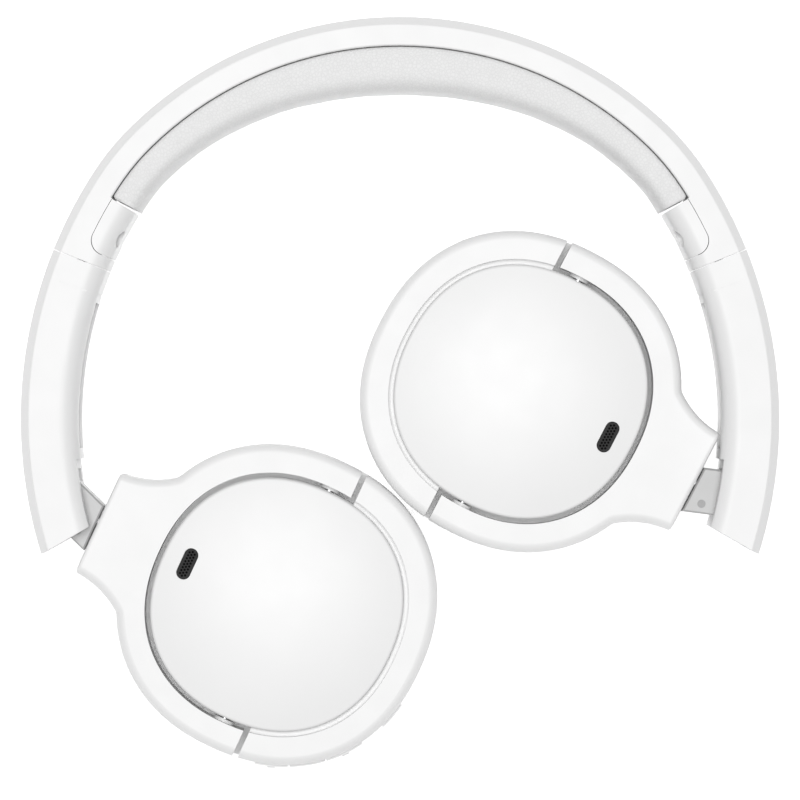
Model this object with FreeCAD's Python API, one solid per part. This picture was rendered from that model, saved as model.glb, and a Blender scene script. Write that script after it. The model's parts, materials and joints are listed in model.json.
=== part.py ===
import FreeCAD, Part
import math
import os

from FreeCAD import Placement, Rotation, Vector

# Over-ear headphones, folded flat: the band lies on its side, both cups are swivelled face up.
# Millimetres. X runs across the band, Y from the cups to the crown, Z up from the table.

# ---- band: three tangent arcs on each side, all sizes measured at the outer face
crown_radius = 87.5
shoulder_radius = 60.0
side_radius = 103.2
crown_centre_y = -1.92
side_centre_x = 17.0
side_centre_y = -5.8
band_width = 26.0
arm_thickness = 13.0
shell_thickness = 6.6
band_bevel = 1.8
inner_round = 4.2
seam_angle = 22.0
seam_gap = 0.15
pad_end_angle = 31.3

# ---- what lies inside the band
channel_width = 19.0
channel_floor = 2.2
channel_end_angle = 42.0
liner_thickness = 1.8
liner_gap = 0.1
spring_thickness = 0.9
spring_width = 15.0
spring_reach = 43.0
spring_gap = 0.05

# ---- head pad
pad_width = 24.6
pad_end_thickness = 6.6
pad_crown_extra = 3.5
pad_taper_angle = 52.0
pad_round = 3.2
pad_seat_gap = 0.1
pad_end_gap = 0.25

# ---- end covers of the band
cover_depth = 6.2
cover_end_angle = 23.7
cover_corner = 3.4
cover_gap = 0.12
screw_head_radius = 1.7
screw_head_depth = 1.2
screw_shank_radius = 1.0
screw_length = 6.0
screw_recess_gap = 0.4
screw_recess_depth = 2.4
screw_from_middle = 9.2
screw_angle = 26.9
screw_drive_width = 0.5

# ---- size adjustment: a straight strip in a straight pocket
slide_travel = 20.0
strip_thickness = 1.4
strip_width = 12.0
strip_engagement = 7.0
strip_root = 9.0
strip_offset = 6.2
strip_clearance = 0.2
strip_end_gap = 1.0
strip_length = slide_travel + strip_engagement

# ---- folding hinge
hinge_angle = -10.5
hinge_depth = 7.2
arm_end_angle = 60.0
arm_end_reach = 9.4
notch_angle = -5.8
notch_depth = 0.9
fold_left = 35.3
fold_right = 87.5
knuckle_width = 10.5
knuckle_height = 11.0
knuckle_lean = 20.0
knuckle_clearance = 0.35
knuckle_side_gap = 0.3
knuckle_bevel = 0.4
fold_pin_radius = 1.6
fold_pin_length = 19.0
pin_clearance = 0.05
marker_pin_radius = 0.95
marker_pin_along = 8.3
marker_pin_across = 3.0
marker_pin_length = 4.0
marker_pin_sink = 0.1
slot_height = knuckle_height + 2 * knuckle_side_gap

# ---- arm cover
arm_cover_thickness = 1.6
arm_cover_recess = 0.7
arm_cover_width = 16.0
arm_cover_top_angle = 17.0
arm_cover_low_angle = -4.2
arm_hollow_low_angle = 0.0
arm_hollow_depth = 3.2
arm_hollow_wall = 1.0
arm_hollow_width = 11.0
arm_groove_angle = 18.2
arm_groove_width = 0.25
arm_groove_depth = 0.3
arm_groove_reach = 9.0

# ---- swivel
swivel_height = 19.5
swivel_offset = 2.0
stub_face = 10.3
swivel_gap = 0.35
shaft_radius = 2.5
shaft_root = 4.6
shaft_reach = 15.6
shaft_wall = 1.0
shaft_end_gap = 0.6
shaft_lip = 0.4
clip_radius = 3.3
clip_thickness = 1.0
clip_room = 0.25
clip_start = shaft_reach - shaft_lip - clip_thickness

# ---- cup, measured from the cup's own centre
cup_radius = 35.85
cup_power = 2.2
neck_length = 9.05
rim_width = 7.45
ring_gap = 1.1
stub_half_width = 12.5
flare_radius = 21.0
flare_angle = 152.2
yoke_top = 7.6
yoke_bottom = -1.8
stub_bottom = -4.2
stub_low_length = 7.0
yoke_end = 5.1
slot_width = 1.3
edge_round = 2.0
kink_round = 2.5
stub_corner_round = 0.9
flange_bottom = -7.2
flange_top = -5.3
flange_round = 1.4
groove_floor = 4.8
barrel_wall = 2.2
cap_seat = 5.0
cap_edge = 7.2
cap_rise = 2.9
cap_round = 0.7
cap_gap = 0.1
cap_edge_width = 4.4
cap_hollow_depth = 2.4
cup_reach = stub_face + neck_length + cup_radius
cap_radius = cup_radius - rim_width
gap_radius = cap_radius + ring_gap
wall_inside = cap_radius - barrel_wall
cap_hollow_radius = cap_radius - cap_edge_width

# ---- tilt pivots
tilt_height = 2.2
tilt_pin_radius = 1.2
tilt_pin_proud = 0.9
tilt_pin_cover = 1.95
tilt_boss_radius = 2.4
tilt_boss_gap = 0.35
tilt_boss_root = 1.5
tilt_pin_inner = wall_inside - tilt_pin_proud
tilt_pin_outer = cup_radius - tilt_pin_cover

# ---- microphone opening
mic_along = 22.4
mic_roundness = 0.98
mic_length = 7.5
mic_width = 3.3
mic_depth = 1.0
mic_gap = 0.05
mic_sink = 0.25

# ---- sound parts
baffle_thickness = 1.6
baffle_gap = 0.15
baffle_hole_radius = 1.1
baffle_ring_radii = (4.5, 9.0, 13.5)
driver_radius = 20.0
driver_wall = 1.4
driver_depth = 3.2
magnet_radius = 13.0
magnet_depth = 3.6
diaphragm_radius = 17.5
diaphragm_rise = 1.6
scrim_radius = 18.0
scrim_thickness = 0.4
baffle_screw_inset = 3.0
baffle_screw_count = 4
baffle_screw_length = 6.0
baffle_screw_head = 0.9
baffle_screw_circle = wall_inside - baffle_screw_inset

# ---- ear cushion
cushion_step = 2.65
cushion_hole = 18.6
cushion_round = 6.0
cushion_top_round = 2.2
cushion_hole_round = 4.6
cushion_gap = 0.3
cushion_radius = cup_radius - cushion_step

# ---- electronics
battery_size = (24.0, 30.0, 3.2)
board_size = (22.0, 32.0, 1.0)
board_gap = 0.3
post_wall = 1.2
post_clear = 0.05
post_drop = 3.0
rib_width = 2.0
rib_into_wall = 1.6

# ---- keys and port on the left cup's rim
key_height = 6.4
key_centre_z = 0.2
key_proud = 0.6
key_depth = 1.4
key_travel = 0.35
key_side_gap = 0.3
key_back_gap = 0.15
volume_up_angles = (61.6, 73.5)
play_angles = (48.4, 60.9)
volume_down_angles = (34.0, 47.7)
power_angles = (14.5, 24.6)
bump_radius = 0.9
bump_proud = 0.4
port_angle = 3.0
port_width = 9.0
port_height = 3.2
port_roundness = 0.96
port_depth = 6.6
port_wall = 0.35
port_tongue = 0.7
light_angle = -6.5
light_radius = 0.6

side_centre = Vector(-side_centre_x, side_centre_y, 0)
crown_centre = Vector(0, crown_centre_y, 0)
z_axis = Vector(0, 0, 1)


def polar(angle):
    return Vector(math.cos(math.radians(angle)), math.sin(math.radians(angle)), 0)


def shoulder_centre():
    """Centre of the arc that is tangent to both the crown arc and the right side arc."""
    to_crown = crown_radius - shoulder_radius
    to_side = side_radius - shoulder_radius
    across = side_centre - crown_centre
    along = (to_crown**2 - to_side**2 + across.Length**2) / (2 * across.Length)
    rise = math.sqrt(to_crown**2 - along**2)
    unit = across * (1 / across.Length)
    normal = Vector(unit.y, -unit.x, 0)
    return crown_centre + unit * along + normal * rise


def angle_of(vector):
    return math.degrees(math.atan2(vector.y, vector.x))


def band_arcs():
    """(centre, outer radius, low angle, high angle) of the right half, from the seam to the crown."""
    shoulder = shoulder_centre()
    to_side = angle_of(shoulder - side_centre)
    to_crown = angle_of(shoulder - crown_centre)
    return [
        (side_centre, side_radius, seam_angle, to_side),
        (shoulder, shoulder_radius, to_side, to_crown),
        (crown_centre, crown_radius, to_crown, 90.0),
    ]


def corner_arc(before, corner, after, radius):
    """Start, middle and end of the arc that rounds one corner."""
    back = (before - corner).normalize()
    ahead = (after - corner).normalize()
    half = back.getAngle(ahead) / 2
    reach = radius / math.tan(half)
    bisector = (back + ahead).normalize()
    middle = corner + bisector * (radius / math.sin(half) - radius)
    return corner + back * reach, middle, corner + ahead * reach


def rounded_wire(points, radii):
    """A closed wire through the points, with each corner rounded by its own radius."""
    count = len(points)
    stretches = []
    for i in range(count):
        if radii[i] > 0:
            stretches.append(corner_arc(points[i - 1], points[i], points[(i + 1) % count], radii[i]))
        else:
            stretches.append((points[i], None, points[i]))
    edges = []
    for i in range(count):
        start, middle, end = stretches[i]
        if middle is not None:
            edges.append(Part.Arc(start, middle, end).toShape())
        following = stretches[(i + 1) % count][0]
        if (following - end).Length > 1e-6:
            edges.append(Part.LineSegment(end, following).toShape())
    return Part.Wire(edges)


def prism(wire, height):
    return Part.Face(wire).extrude(Vector(0, 0, height))


def block(x0, x1, y0, y1, z0, z1):
    return Part.makeBox(x1 - x0, y1 - y0, z1 - z0, Vector(x0, y0, z0))


def pillar(x, y, radius, z0, z1):
    return Part.makeCylinder(radius, z1 - z0, Vector(x, y, z0))


def swept(centre, outer, section, radii, low, high):
    """Turns a section, given as (depth from the outer face, z), from the low to the high angle."""
    direction = polar(low)
    points = [centre + direction * (outer - depth) + z_axis * z for depth, z in section]
    face = Part.Face(rounded_wire(points, radii))
    return face.revolve(centre, z_axis, high - low)


def band_section(thickness, round_inside):
    """Corners and rounding of the band's section: bevels outside, rounded edges inside."""
    half = band_width / 2
    section = [
        (0, half - band_bevel),
        (band_bevel, half),
        (thickness, half),
        (thickness, -half),
        (band_bevel, -half),
        (0, -half + band_bevel),
    ]
    return section, [0.5, 0.5, round_inside, round_inside, 0.5, 0.5]


def plain_section(depth0, depth1, half):
    return [(depth0, half), (depth1, half), (depth1, -half), (depth0, -half)]


def along_band(section, radii, end_angle):
    """One section swept from the right end, over the crown, to the left end."""
    pieces = []
    for centre, outer, low, high in band_arcs():
        first = max(low, end_angle)
        if first < high:
            pieces.append(swept(centre, outer, section, radii, first, high))
    pieces += [mirrored(piece) for piece in pieces]
    return pieces[0].fuse(pieces[1:]).removeSplitter()


def mirrored(shape):
    return shape.mirror(Vector(0, 0, 0), Vector(1, 0, 0))


def lifted(shape):
    """Brings a band part, made around z = 0, to the height of the swivel axes."""
    moved = shape.copy()
    moved.translate(Vector(0, 0, swivel_height))
    return moved


def side_sector(depth0, depth1, low, high, half):
    return swept(side_centre, side_radius, plain_section(depth0, depth1, half), [0] * 4, low, high)


def strip_box(width, thickness, above, below):
    """A straight bar through the seam on the right, along the sliding direction."""
    centre = side_centre + polar(seam_angle) * (side_radius - strip_offset)
    bar = block(-thickness / 2, thickness / 2, -below, above, -width / 2, width / 2)
    bar.rotate(Vector(0, 0, 0), z_axis, seam_angle)
    bar.translate(centre)
    return bar


def cover_region(gap):
    """The space of the right end cover: a sector with one rounded corner."""
    half = band_width
    inner = side_radius - arm_thickness - 2.0
    outer = side_radius - arm_thickness + cover_depth - gap
    low = cover_end_angle + math.degrees(gap / outer)
    high = pad_end_angle - math.degrees(gap / outer)
    sector = side_sector(side_radius - outer, side_radius - inner, low, high, half)
    corner = side_centre + polar(low) * outer
    upright = [e for e in sector.Edges if near_upright(e, corner)]
    return sector.makeFillet(cover_corner, upright)


def near_upright(edge, place):
    first = edge.Vertexes[0].Point
    last = edge.Vertexes[-1].Point
    level = abs(first.z - last.z) > 1.0
    offset = Vector(first.x - place.x, first.y - place.y, 0)
    return level and offset.Length < 0.01


def screw_places():
    """Centres of the right cover's two screws, level with the inner face."""
    inner = side_centre + polar(screw_angle) * (side_radius - arm_thickness)
    return [inner + z_axis * side * screw_from_middle for side in (1, -1)]


def cover_screw(place):
    """A countersunk-deep pan head with one drive slot, pointing into the band."""
    outward = polar(screw_angle)
    head_start = place + outward * (screw_recess_depth - screw_head_depth)
    head = Part.makeCylinder(screw_head_radius, screw_head_depth, head_start, outward)
    shank = Part.makeCylinder(screw_shank_radius, screw_length, head_start, outward)
    width = screw_drive_width
    slot = block(-width / 2, width / 2, -2 * screw_head_radius, 2 * screw_head_radius, -width, width)
    slot.Placement = Placement(head_start, Rotation(z_axis, outward))
    return head.fuse(shank).cut(slot)


def screw_space():
    """Recesses and bores of both screws, open towards the inside of the band."""
    outward = polar(screw_angle)
    recess_radius = screw_head_radius + screw_recess_gap
    spaces = []
    for place in screw_places():
        recess = Part.makeCylinder(recess_radius, screw_recess_depth + 2.0, place - outward * 2.0, outward)
        bore = Part.makeCylinder(screw_shank_radius + pin_clearance, screw_length + 2.0, place, outward)
        spaces.append(recess.fuse(bore))
    return Part.makeCompound(spaces)


def strip_pocket():
    room = 2 * strip_clearance
    return strip_box(strip_width + room, strip_thickness + room, strip_length + strip_end_gap, strip_root)


def headband_shell():
    section, radii = band_section(shell_thickness, 0.4)
    shell = along_band(section, radii, pad_end_angle)
    channel = plain_section(channel_floor, shell_thickness + 1.0, channel_width / 2)
    shell = shell.cut(along_band(channel, [0] * 4, channel_end_angle))
    section, radii = band_section(arm_thickness, inner_round)
    end = swept(side_centre, side_radius, section, radii, seam_angle, pad_end_angle)
    end = end.cut(cover_region(0.0))
    for space in (screw_space(), strip_pocket()):
        end = end.cut(space)
        shell = shell.cut(space).cut(mirrored(space))
    return lifted(shell.fuse([end, mirrored(end)]).removeSplitter())


def band_liner():
    depth0 = shell_thickness - liner_thickness
    section = plain_section(depth0, shell_thickness, channel_width / 2 - liner_gap)
    turn = math.degrees(liner_gap / side_radius)
    return lifted(along_band(section, [0] * 4, channel_end_angle + turn))


def spring_band():
    """A flat steel bow on the channel's floor, over the crown only."""
    depth0 = channel_floor + spring_gap
    section = plain_section(depth0, depth0 + spring_thickness, spring_width / 2)
    low = 90.0 - spring_reach
    high = 90.0 + spring_reach
    return lifted(swept(crown_centre, crown_radius, section, [0] * 4, low, high))


def pad_thickness(from_crown):
    """Pad thickness at an angle from the crown: thickest in the middle, level near the ends."""
    share = min(abs(from_crown) / pad_taper_angle, 1.0)
    return pad_end_thickness + pad_crown_extra * (0.5 + 0.5 * math.cos(math.pi * share))


def pad_arcs():
    """(centre, seat radius, low angle, high angle) of the pad's seat on the right half."""
    gap = shell_thickness + pad_seat_gap
    arcs = []
    for centre, outer, low, high in band_arcs():
        if centre == side_centre:
            low = pad_end_angle + math.degrees(pad_end_gap / outer)
        arcs.append((centre, outer - gap, low, high))
    return arcs


def pad_point(centre, seat, angle):
    """A point on the pad's inner face, opposite one point of its seat."""
    on_seat = centre + polar(angle) * seat
    from_crown = 90.0 - angle_of(on_seat - crown_centre)
    return centre + polar(angle) * (seat - pad_thickness(from_crown))


def pad_inner_points():
    """Points along the pad's inner face, from the right end over the crown to the left end."""
    points = []
    for centre, seat, low, high in pad_arcs():
        steps = 2 if centre == side_centre else 4
        for i in range(steps):
            points.append(pad_point(centre, seat, low + (high - low) * i / steps))
    crown = pad_point(crown_centre, pad_arcs()[-1][1], 90.0)
    left = [Vector(-p.x, p.y, p.z) for p in reversed(points)]
    return points + [crown] + left


def pad_seat_edges():
    edges = []
    for centre, seat, low, high in pad_arcs():
        ends = [centre + polar(angle) * seat for angle in (low, (low + high) / 2, high)]
        arc = Part.Arc(*ends).toShape()
        edges += [arc, mirrored(arc)]
    return edges


def head_pad():
    inner = Part.BSplineCurve()
    inner.interpolate(pad_inner_points())
    centre, seat, low, high = pad_arcs()[0]
    right_end = Part.LineSegment(centre + polar(low) * seat, inner.StartPoint).toShape()
    edges = pad_seat_edges() + [inner.toShape(), right_end, mirrored(right_end)]
    pad = prism(Part.Wire(Part.__sortEdges__(edges)), pad_width)
    pad.translate(Vector(0, 0, -pad_width / 2))
    crown = pad_point(crown_centre, pad_arcs()[-1][1], 90.0)
    long_edges = []
    for edge in pad.Edges:
        middle = edge.valueAt((edge.FirstParameter + edge.LastParameter) / 2)
        if abs(middle.x) < 1.0 and abs(middle.y - crown.y) < 0.1:
            long_edges.append(edge)
    return lifted(pad.makeFillet(pad_round, long_edges))


def end_cover():
    section, radii = band_section(arm_thickness, inner_round)
    end = swept(side_centre, side_radius, section, radii, seam_angle, pad_end_angle)
    cover = end.common(cover_region(cover_gap)).cut(screw_space())
    return lifted(cover.cut(strip_pocket()))


def arm_end_normal():
    """Out of the right arm's oblique end face."""
    return polar(180.0 + arm_end_angle)


def pivot():
    return side_centre + polar(hinge_angle) * (side_radius - hinge_depth)


def arm_end_cut():
    """Everything beyond the right arm's end face."""
    normal = arm_end_normal()
    beyond = Part.makeBox(60, 60, 60, Vector(0, -30, -30))
    beyond.rotate(Vector(0, 0, 0), z_axis, angle_of(normal))
    beyond.translate(pivot() + normal * arm_end_reach)
    return beyond


def hinge_slot():
    """The space that the knuckle turns in, open to the inside and to the end of the arm."""
    clear = knuckle_width / 2 + knuckle_clearance
    reach = 30.0
    centre = pivot()
    opened = polar(180.0 + arm_end_angle + knuckle_lean)
    folded = polar(180.0 + arm_end_angle + knuckle_lean - fold_right)
    wall = centre + Vector(-opened.y, opened.x, 0) * clear
    top = centre + Vector(folded.y, -folded.x, 0) * clear
    corners = [wall, wall + opened * reach, centre + (opened + folded) * reach, top + folded * reach, top]
    slot = prism(Part.makePolygon(corners + corners[:1]), slot_height)
    slot = slot.fuse(Part.makeCylinder(clear, slot_height, centre))
    slot.translate(Vector(0, 0, -slot_height / 2))
    return slot


def notch():
    """A shallow step in the arm's inner face, from above the hinge to the arm's end."""
    depth = arm_thickness - notch_depth
    return side_sector(depth, arm_thickness + 2.0, notch_angle - 20.0, notch_angle, band_width)


def arm_body():
    """The right arm's outer shape, before it is hollowed."""
    section, radii = band_section(arm_thickness, inner_round)
    top = seam_angle - math.degrees(seam_gap / side_radius)
    arm = swept(side_centre, side_radius, section, radii, -30.0, top)
    return arm.cut(arm_end_cut()).cut(notch())


def arm_groove():
    """The fine parting line across both faces of the arm."""
    low = arm_groove_angle
    high = low + math.degrees(arm_groove_width / side_radius)
    near = arm_thickness - arm_groove_reach
    line = side_sector(near, arm_thickness + 1.0, low, high, band_width)
    core_depth = arm_thickness - arm_groove_depth
    core_half_width = band_width / 2 - arm_groove_depth
    core = side_sector(0, core_depth, low - 2, high + 2, core_half_width)
    return line.cut(core)


def arm_plate(gap, inner_depth):
    """The arm cover's place, from its seat to a depth that counts from the outer face."""
    turn = math.degrees(gap / (side_radius - arm_thickness))
    seat = arm_thickness - arm_cover_recess - arm_cover_thickness
    low = arm_cover_low_angle + turn
    high = arm_cover_top_angle - turn
    return side_sector(seat + gap, inner_depth, low, high, arm_cover_width / 2 - gap)


def arm_hollow():
    """Room for the cable and the strip's foot, inside the arm and behind its cover."""
    high = arm_cover_top_angle - 1.0
    low = arm_hollow_low_angle
    far_wall = arm_thickness - arm_hollow_wall
    return side_sector(arm_hollow_depth, far_wall, low, high, arm_hollow_width / 2)


def arm_shell():
    foot = strip_box(strip_width, strip_thickness, strip_root, strip_root)
    plate = arm_plate(0.0, arm_thickness + 1.0)
    spaces = [hinge_slot(), arm_groove(), plate, arm_hollow(), pin_form(), foot]
    arm = arm_body()
    for space in spaces:
        arm = arm.cut(space)
    return lifted(arm)


def arm_cover():
    return lifted(arm_plate(cover_gap, arm_thickness - arm_cover_recess))


def slider_strip():
    strip = strip_box(strip_width, strip_thickness, strip_length, strip_root)
    window = strip_box(strip_width / 3, strip_thickness * 2, strip_length - 5.0, -4.0)
    return lifted(strip.cut(window))


def pin_form():
    half = fold_pin_length / 2
    return pillar(pivot().x, pivot().y, fold_pin_radius, -half, half)


# ---- parts beyond the hinge: x along the cup, y to the outer side, z up, fold axis at the origin


def superellipse(radius, z):
    """A rounded-square outline around the cup's centre."""
    points = []
    for i in range(48):
        angle = 2 * math.pi * i / 48
        c = abs(math.cos(angle)) ** cup_power
        s = abs(math.sin(angle)) ** cup_power
        reach = radius / (c + s) ** (1 / cup_power)
        points.append(
            Vector(cup_reach + reach * math.cos(angle), swivel_offset + reach * math.sin(angle), z)
        )
    curve = Part.BSplineCurve()
    curve.interpolate(points, True)
    return Part.Wire(curve.toShape())


def disc(radius, z0, z1):
    return prism(superellipse(radius, z0), z1 - z0)


def level_edges(shape, z):
    found = []
    for edge in shape.Edges:
        box = edge.BoundBox
        if abs(box.ZMin - z) < 1e-4 and abs(box.ZMax - z) < 1e-4:
            found.append(edge)
    return found


def hinge_knuckle():
    half = knuckle_height / 2
    side = knuckle_width / 2
    along = polar(knuckle_lean)
    across = Vector(-along.y, along.x, 0)
    reach = 40.0
    corners = [across * side, along * reach + across * side, along * reach - across * side, across * -side]
    bar = prism(Part.makePolygon(corners + corners[:1]), knuckle_height)
    knuckle = bar.fuse(Part.makeCylinder(side, knuckle_height)).removeSplitter()
    knuckle.translate(Vector(0, 0, -half))
    knuckle = knuckle.cut(block(stub_face - swivel_gap, 60, -40, 40, -20, 20))
    rims = level_edges(knuckle, half) + level_edges(knuckle, -half)
    knuckle = knuckle.makeChamfer(knuckle_bevel, rims)
    spaces = [
        pillar(0, 0, fold_pin_radius + pin_clearance, -half - 1, half + 1),
        along_cup(shaft_radius, shaft_root, stub_face + 1),
        marker_hole(half),
    ]
    for space in spaces:
        knuckle = knuckle.cut(space)
    return knuckle


def marker_centre():
    along = polar(knuckle_lean)
    across = Vector(-along.y, along.x, 0)
    return along * marker_pin_along + across * marker_pin_across


def marker_hole(top):
    place = marker_centre()
    return pillar(place.x, place.y, marker_pin_radius, top - marker_pin_length, top + 1)


def marker_pin():
    place = marker_centre()
    top = knuckle_height / 2
    return pillar(place.x, place.y, marker_pin_radius, top - marker_pin_length, top - marker_pin_sink)


def along_cup(radius, x0, x1):
    start = Vector(x0, swivel_offset, 0)
    return Part.makeCylinder(radius, x1 - x0, start, Vector(1, 0, 0))


def swivel_shaft():
    tube = along_cup(shaft_radius, shaft_root, shaft_reach)
    return tube.cut(along_cup(shaft_radius - shaft_wall, shaft_root + shaft_wall, shaft_reach + 1))


def swivel_clip():
    ring = along_cup(clip_radius, clip_start, clip_start + clip_thickness)
    return ring.cut(along_cup(shaft_radius, clip_start - 1, shaft_reach))


def rim_reach(angle, radius):
    """How far the cup's outline lies from its centre at an angle."""
    c = abs(math.cos(math.radians(angle))) ** cup_power
    s = abs(math.sin(math.radians(angle))) ** cup_power
    return radius / (c + s) ** (1 / cup_power)


def rim_point(angle, radius, z):
    return Vector(cup_reach, swivel_offset, z) + polar(angle) * rim_reach(angle, radius)


def flare(start, end):
    """The hollow side of the stub, from its end face to the cup's outline."""
    chord = end - start
    side = Vector(chord.y, -chord.x, 0).normalize()
    sag = flare_radius - math.sqrt(flare_radius**2 - (chord.Length / 2) ** 2)
    return Part.Arc(start, (start + end) * 0.5 + side * sag, end).toShape()


def yoke_outline(z):
    """Plan of the yoke before its far half is cut off: stub, flares and the cup's outline."""
    centre = Vector(cup_reach, swivel_offset, z)
    stub_corner = Vector(stub_face, swivel_offset + stub_half_width, z)
    upper = flare(stub_corner, rim_point(flare_angle, cup_radius, z))
    lower = upper.mirror(centre, Vector(0, 1, 0))
    steps = 40
    points = [rim_point(flare_angle * (1 - 2 * i / steps), cup_radius, z) for i in range(steps + 1)]
    rim = Part.BSplineCurve()
    rim.interpolate(points)
    back = Part.LineSegment(stub_corner - Vector(0, 2 * stub_half_width, 0), stub_corner)
    return Part.Wire(Part.__sortEdges__([upper, rim.toShape(), lower, back.toShape()]))


def both_upright(shape, place):
    """The upright edges at one place and at its mirror image across the cup's axis."""
    other = Vector(place.x, 2 * swivel_offset - place.y, 0)
    return [e for e in shape.Edges if near_upright(e, place) or near_upright(e, other)]


def tilt_pins_shape(radius, inner, outer):
    pins = []
    for side in (1, -1):
        start = Vector(cup_reach, swivel_offset + side * inner, tilt_height)
        pins.append(Part.makeCylinder(radius, outer - inner, start, Vector(0, side, 0)))
    return pins


def yoke_body():
    """The yoke's outer shape, with the stub's thick end below it."""
    body = prism(yoke_outline(yoke_bottom), yoke_top - yoke_bottom)
    body = body.makeFillet(kink_round, both_upright(body, rim_point(flare_angle, cup_radius, 0)))
    top = [e for e in level_edges(body, yoke_top) if e.BoundBox.XMax > stub_face + 0.1]
    body = body.makeFillet(edge_round, top)
    low_end = stub_face + stub_low_length
    low = prism(yoke_outline(stub_bottom), yoke_bottom - stub_bottom)
    low = low.common(block(0, low_end, -40, 40, -20, 20))
    return body.fuse(low).removeSplitter()


def yoke():
    body = yoke_body()
    corners = both_upright(body, Vector(stub_face, swivel_offset + stub_half_width, 0))
    body = body.makeFillet(stub_corner_round, corners)
    far = block(cup_reach + yoke_end, 120, -60, 60, -20, 20)
    body = body.cut(far).cut(disc(gap_radius, -20, 20))
    bosses = tilt_pins_shape(tilt_boss_radius, cap_radius + tilt_boss_gap, gap_radius + tilt_boss_root)
    body = body.fuse(bosses)
    spaces = tilt_pins_shape(tilt_pin_radius, tilt_pin_inner, tilt_pin_outer)
    end = shaft_reach + shaft_end_gap
    spaces.append(along_cup(shaft_radius + pin_clearance, 0, end))
    spaces.append(along_cup(clip_radius + clip_room, clip_start - clip_room, end))
    for space in spaces:
        body = body.cut(space)
    return body.removeSplitter()


def tilt_pins():
    return Part.makeCompound(tilt_pins_shape(tilt_pin_radius, tilt_pin_inner, tilt_pin_outer))


def rim_sector(angles, inner, outer, z0, z1):
    """A piece of the cup's rim between two angles and two depths."""
    ring = disc(outer, z0, z1).cut(disc(inner, z0 - 1, z1 + 1))
    centre = Vector(cup_reach, swivel_offset, z0 - 1)
    far = 60.0
    corners = [centre, centre + polar(angles[0]) * far, centre + polar(angles[1]) * far]
    return ring.common(prism(Part.makePolygon(corners + corners[:1]), z1 - z0 + 2))


def key(angles, bump):
    """A rim key with its outer upright edges rounded, and a small bump to feel for."""
    low = key_centre_z - key_height / 2
    inner = cup_radius - key_depth
    body = rim_sector(angles, inner, cup_radius + key_proud, low, low + key_height)
    if bump:
        angle = (angles[0] + angles[1]) / 2
        reach = rim_reach(angle, cup_radius + key_proud)
        start = Vector(cup_reach, swivel_offset, key_centre_z) + polar(angle) * (reach - 0.5)
        body = body.fuse(Part.makeCylinder(bump_radius, 0.5 + bump_proud, start, polar(angle)))
    return body


def key_pocket(angles):
    turn = math.degrees(key_side_gap / cup_radius)
    low = key_centre_z - key_height / 2 - key_side_gap
    inner = cup_radius - key_depth - key_travel - key_back_gap
    wide = (angles[0] - turn, angles[1] + turn)
    return rim_sector(wide, inner, cup_radius + 5.0, low, low + key_height + 2 * key_side_gap)


def at_rim(shape, angle):
    """Turns a shape made along x at the cup's centre to its place on the rim."""
    shape.rotate(Vector(0, 0, 0), z_axis, angle)
    shape.translate(Vector(cup_reach, swivel_offset, 0))
    return shape


def port_form(grow, start, end):
    """A stadium-shaped bar along x."""
    half = port_width / 2 + grow
    tall = port_height / 2 + grow
    points = [Vector(start, y, z) for y, z in ((half, tall), (-half, tall), (-half, -tall), (half, -tall))]
    wire = rounded_wire(points, [tall * port_roundness] * 4)
    return Part.Face(wire).extrude(Vector(end - start, 0, 0))


def charge_port():
    outer = rim_reach(port_angle, cup_radius)
    shell = port_form(port_wall, outer - port_depth, outer - 0.5)
    hole = port_form(0.0, outer - port_depth + 0.6, outer + 2)
    tongue = block(outer - port_depth + 0.3, outer - 1.4, -3.2, 3.2, -port_tongue / 2, port_tongue / 2)
    return at_rim(shell.cut(hole).fuse(tongue), port_angle)


def port_space():
    outer = rim_reach(port_angle, cup_radius)
    return at_rim(port_form(port_wall + 0.05, outer - port_depth - 0.1, outer + 5), port_angle)


def status_light(grow=0.0):
    outer = rim_reach(light_angle, cup_radius)
    start = Vector(outer - 3.0, 0, 0)
    length = 2.9 if grow == 0 else 6.0
    return at_rim(Part.makeCylinder(light_radius + grow, length, start, Vector(1, 0, 0)), light_angle)


def screw_spots():
    spots = []
    for i in range(baffle_screw_count):
        turn = polar(45.0 + 360.0 * i / baffle_screw_count)
        spots.append(Vector(cup_reach, swivel_offset, 0) + turn * baffle_screw_circle)
    return spots


def cup_housing(left):
    """Flange, barrel and the far half of the rim, with the near half cut low for the yoke."""
    body = disc(cup_radius, flange_bottom, yoke_top)
    body = body.makeFillet(edge_round, level_edges(body, yoke_top))
    body = body.makeFillet(flange_round, level_edges(body, flange_bottom))
    rim_start = cup_reach + yoke_end + slot_width
    near = block(0, rim_start, -60, 60, flange_top, 20)
    barrel = disc(cap_radius, flange_bottom, 20)
    body = body.cut(near.cut(barrel))
    groove = disc(gap_radius, groove_floor, 20)
    body = body.cut(groove).cut(disc(cap_radius, cap_seat, 20))
    body = body.cut(disc(wall_inside, -20, 20))
    spaces = tilt_pins_shape(tilt_pin_radius + pin_clearance, tilt_pin_inner - 2, tilt_pin_outer)
    if left:
        spaces += [key_pocket(angles) for angles in key_angles().values()]
        spaces += [port_space(), status_light(0.02)]
    for space in spaces:
        body = body.cut(space)
    return body.fuse(housing_posts())


def housing_posts():
    """Screw posts for the baffle, joined to the barrel's wall by ribs."""
    posts = []
    low = flange_bottom + baffle_thickness + post_clear
    top = cap_seat - post_drop
    half = rib_width / 2
    for spot in screw_spots():
        outward = spot - Vector(cup_reach, swivel_offset, 0)
        rib = block(baffle_screw_circle, wall_inside + rib_into_wall, -half, half, low, top)
        at_rim(rib, angle_of(outward))
        post = pillar(spot.x, spot.y, screw_shank_radius + post_wall, low, top)
        bore = pillar(spot.x, spot.y, screw_shank_radius, low - 1, low + baffle_screw_length)
        posts.append(post.fuse(rib).cut(bore))
    return posts


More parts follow.
